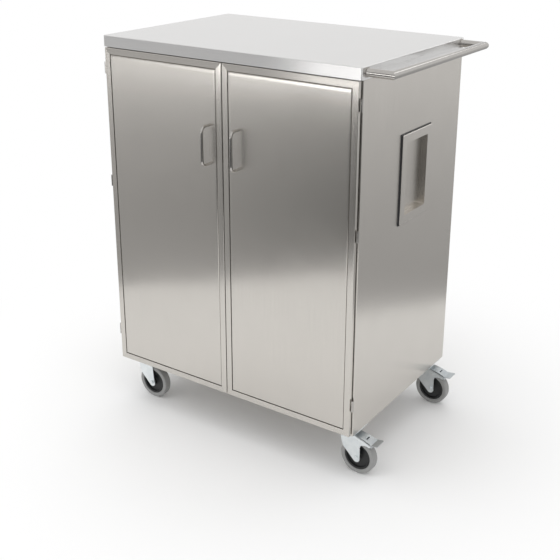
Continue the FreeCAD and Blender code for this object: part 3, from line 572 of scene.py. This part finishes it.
# Matt paper is an even white with no highlight, so only the cart's soft shadow shows on it.
paper, tree, shader = new_material("white_paper_floor")
shader.inputs["Base Color"].default_value = linear("#F4F4F4")
shader.inputs["Roughness"].default_value = 0.9
place = add(tree, "ShaderNodeTexCoord").outputs["Object"]
away = add(tree, "ShaderNodeVectorMath", {0: place}, operation="LENGTH")
fade = add(tree, "ShaderNodeMapRange", {"Value": away.outputs["Value"], "From Min": FADE_FROM, "From Max": FADE_TO},
           interpolation_type="SMOOTHSTEP")
share = add(tree, "ShaderNodeMath", {0: seen_or_mirrored(tree), 1: fade.outputs["Result"]}, operation="MULTIPLY")
white = add(tree, "ShaderNodeEmission", {"Color": (1, 1, 1, 1), "Strength": 1.0})
mixed = add(tree, "ShaderNodeMixShader", {0: share.outputs[0], 1: shader.outputs["BSDF"], 2: white.outputs[0]})
tree.links.new(mixed.outputs[0], tree.nodes["Material Output"].inputs["Surface"])
floor.data.materials.append(paper)
print("floor laid")

# %% Light the surround
SURROUND_LIGHT = 0.85
world = bpy.data.worlds.new("white_surround")
bpy.context.scene.world = world
world.use_nodes = True
tree = world.node_tree
tree.nodes.clear()
level = add(tree, "ShaderNodeMapRange", {"Value": seen_or_mirrored(tree), "To Min": SURROUND_LIGHT, "To Max": 1.0})
sky = add(tree, "ShaderNodeBackground", {"Color": (1, 1, 1, 1), "Strength": level.outputs["Result"]})
add(tree, "ShaderNodeOutputWorld", {"Surface": sky.outputs[0]})


def soft_lamp(name, place, aim, size, power):
    """Square area lamp at a place, turned towards its aim and kept out of reflections."""
    data = bpy.data.lights.new(name, "AREA")
    data.size = size
    data.energy = power
    lamp = bpy.data.objects.new(name, data)
    bpy.context.scene.collection.objects.link(lamp)
    lamp.location = place
    direction = np.array(aim, float) - np.array(place, float)
    pitch = math.acos(-direction[2] / np.linalg.norm(direction))
    lamp.rotation_euler = (pitch, 0, math.atan2(-direction[0], direction[1]))
    lamp.visible_glossy = False


soft_lamp("lamp_overhead", (-0.4, -0.4, 5.0), (0, 0, 0.6), 6.0, 110)
soft_lamp("lamp_left", (-4.4, -4.2, 3.4), (0, 0, 0.7), 4.0, 30)
print("lamps placed")

# %% [markdown]
# ## What the steel reflects
#
# In a studio the white paper is a strip some three metres wide that runs towards the camera. Beside it lies
# the grey studio floor, lighter far away, and its edge is what draws the soft horizon across the doors and
# the end of the cart. Each grey floor is a flat card with a ramp of brightness across it. A grey wall closes
# the room beyond the camera.
#
# Three smaller cards follow. A bright panel in front gives the worktop's face and the door's top rail their
# bright right-hand part. A dark patch of floor shows twice mirrored in the pocket of the grip, and a narrow
# strip of light draws the line along the push handle. All of these cards show in reflections alone.

# %% Set out the cards
CARD_LIFT = np.array([0, 0, 0.002])
DIM_FROM, DIM_TO = 0.38, 0.62


def reflected(name, corners, levels, reach, dim=0.0):
    """Card seen only in reflections, given by two corners on its first side and two on its far side.

    Its brightness follows the levels, as (share of the reach, brightness), from the first side outwards. It may
    dim towards the front, where the ratio of x to y, which tells the direction from the middle, is small.
    """
    grid = np.array(corners, float).reshape(2, 2, 3)
    piece = surface(name, grid)
    material, tree, shader = new_material(name + "_glow")
    first = (grid[0, 0] + grid[0, 1]) / 2
    away = grid[1, 0] - grid[0, 0]
    away = away / np.linalg.norm(away) / reach
    place = add(tree, "ShaderNodeTexCoord").outputs["Object"]
    share = add(tree, "ShaderNodeVectorMath", {0: place, 1: away.tolist()}, operation="DOT_PRODUCT")
    start = add(tree, "ShaderNodeMath", {0: share.outputs["Value"], 1: float(first @ away)}, operation="SUBTRACT")
    ramp = add(tree, "ShaderNodeValToRGB", {"Fac": start.outputs[0]})
    stops = ramp.color_ramp.elements
    ends = [(stops[0], levels[0]), (stops[1], levels[-1])]
    for stop, (position, level) in ends:
        stop.position = position
        stop.color = [level] * 3 + [1]
    for position, level in levels[1:-1]:
        stops.new(position).color = [level] * 3 + [1]
    apart = add(tree, "ShaderNodeSeparateXYZ", {"Vector": place})
    ratio = add(tree, "ShaderNodeMath", {0: apart.outputs["X"], 1: apart.outputs["Y"]}, operation="DIVIDE")
    front = add(tree, "ShaderNodeMapRange", {"Value": ratio.outputs[0], "From Min": DIM_FROM, "From Max": DIM_TO,
                                             "To Min": 1.0 - dim, "To Max": 1.0}, interpolation_type="SMOOTHSTEP")
    glow = add(tree, "ShaderNodeEmission", {"Color": ramp.outputs["Color"], "Strength": front.outputs["Result"]})
    tree.links.new(glow.outputs[0], tree.nodes["Material Output"].inputs["Surface"])
    piece.data.materials.append(material)
    piece.visible_camera = False
    piece.visible_diffuse = False
    piece.visible_shadow = False


def beside_paper(run, near):
    """Corners of a grey floor beyond one edge of the paper, which runs along a direction at a distance."""
    run = np.array([*run, 0.0]) / math.hypot(*run)
    out = math.copysign(1, near) * np.array([-run[1], run[0], 0.0])
    edge = abs(near) * out + CARD_LIFT
    far = FLOOR_REACH * out + CARD_LIFT
    return [edge - FLOOR_REACH * run, edge + FLOOR_REACH * run, far - FLOOR_REACH * run, far + FLOOR_REACH * run]


left_floor = beside_paper((0.719, -0.695), -1.645)
right_floor = beside_paper((0.62, -0.785), 1.4)
reflected("grey_floor_left", left_floor, [(0.0, 0.45), (0.2, 0.45), (1.0, 0.74)], 5.0, dim=0.65)
reflected("grey_floor_right", right_floor, [(0.0, 0.45), (0.2, 0.52), (1.0, 0.82)], 5.0)
reflected("front_wall", [(-14, -8, 0.01), (-14, -8, 5), (3, -8, 0.01), (3, -8, 5)],
          [(0.0, 0.44), (1.0, 0.44)], 17.0)
print("grey floors and wall set")

# %% Add the bright and dark cards
reflected("dark_floor", [(3.2, -0.7, 0.004), (-0.2, -3.4, 0.004), (7.0, -5.5, 0.004), (3.6, -8.2, 0.004)],
          [(0.0, 0.1), (1.0, 0.2)], 6.0)
reflected("bright_panel", [(-2.5, -4, 0.5), (-2.5, -4, 1.15), (-0.2, -4, 0.5), (-0.2, -4, 1.15)],
          [(0.0, 0.15), (0.06, 0.2), (0.3, 4.4)], 2.3)
reflected("lamp_strip", [(1.9, 1.5, 4.2), (1.9, 7.0, 4.2), (2.6, 1.5, 4.2), (2.6, 7.0, 4.2)],
          [(0.0, 3.0), (1.0, 3.0)], 0.7)
print("bright and dark cards set")

# %% [markdown]
# ## The camera
#
# The view was solved from straight edges of the cart: the camera stands to the front right and looks down by
# some 19 degrees. The picture is a crop of a larger one, so its centre isn't the lens axis, which a small
# lens shift repeats.

# %% Place the camera
SENSOR_WIDTH = 36.0
FRAME_PIXELS = 560
FOCAL_PIXELS = 955.09
AXIS_PIXEL = (298.76, 216.17)
AZIMUTH, ELEVATION, ROLL = math.radians(33.3134), math.radians(19.3833), math.radians(0.5384)
camera_place = np.array([1.7713, -2.6427, 1.8571])

camera_data = bpy.data.cameras.new("camera")
camera_data.sensor_width = SENSOR_WIDTH
camera_data.lens = SENSOR_WIDTH * FOCAL_PIXELS / FRAME_PIXELS
camera_data.shift_x = -(AXIS_PIXEL[0] - (FRAME_PIXELS - 1) / 2) / FRAME_PIXELS
camera_data.shift_y = (AXIS_PIXEL[1] - (FRAME_PIXELS - 1) / 2) / FRAME_PIXELS
camera = bpy.data.objects.new("camera", camera_data)
bpy.context.scene.collection.objects.link(camera)
level_part = math.cos(ELEVATION)
back = np.array([math.sin(AZIMUTH) * level_part, -math.cos(AZIMUTH) * level_part, math.sin(ELEVATION)])
right = np.array([math.cos(AZIMUTH), math.sin(AZIMUTH), 0.0])
up = np.cross(back, right)
turned_right = math.cos(ROLL) * right + math.sin(ROLL) * up
turned_up = -math.sin(ROLL) * right + math.cos(ROLL) * up
pose = np.eye(4)
pose[:3, 0], pose[:3, 1], pose[:3, 2], pose[:3, 3] = turned_right, turned_up, back, camera_place
camera.matrix_world = Matrix(pose.tolist())
bpy.context.scene.camera = camera
bpy.context.scene.view_settings.view_transform = "Standard"
print("camera at", [round(float(v), 3) for v in camera.location])
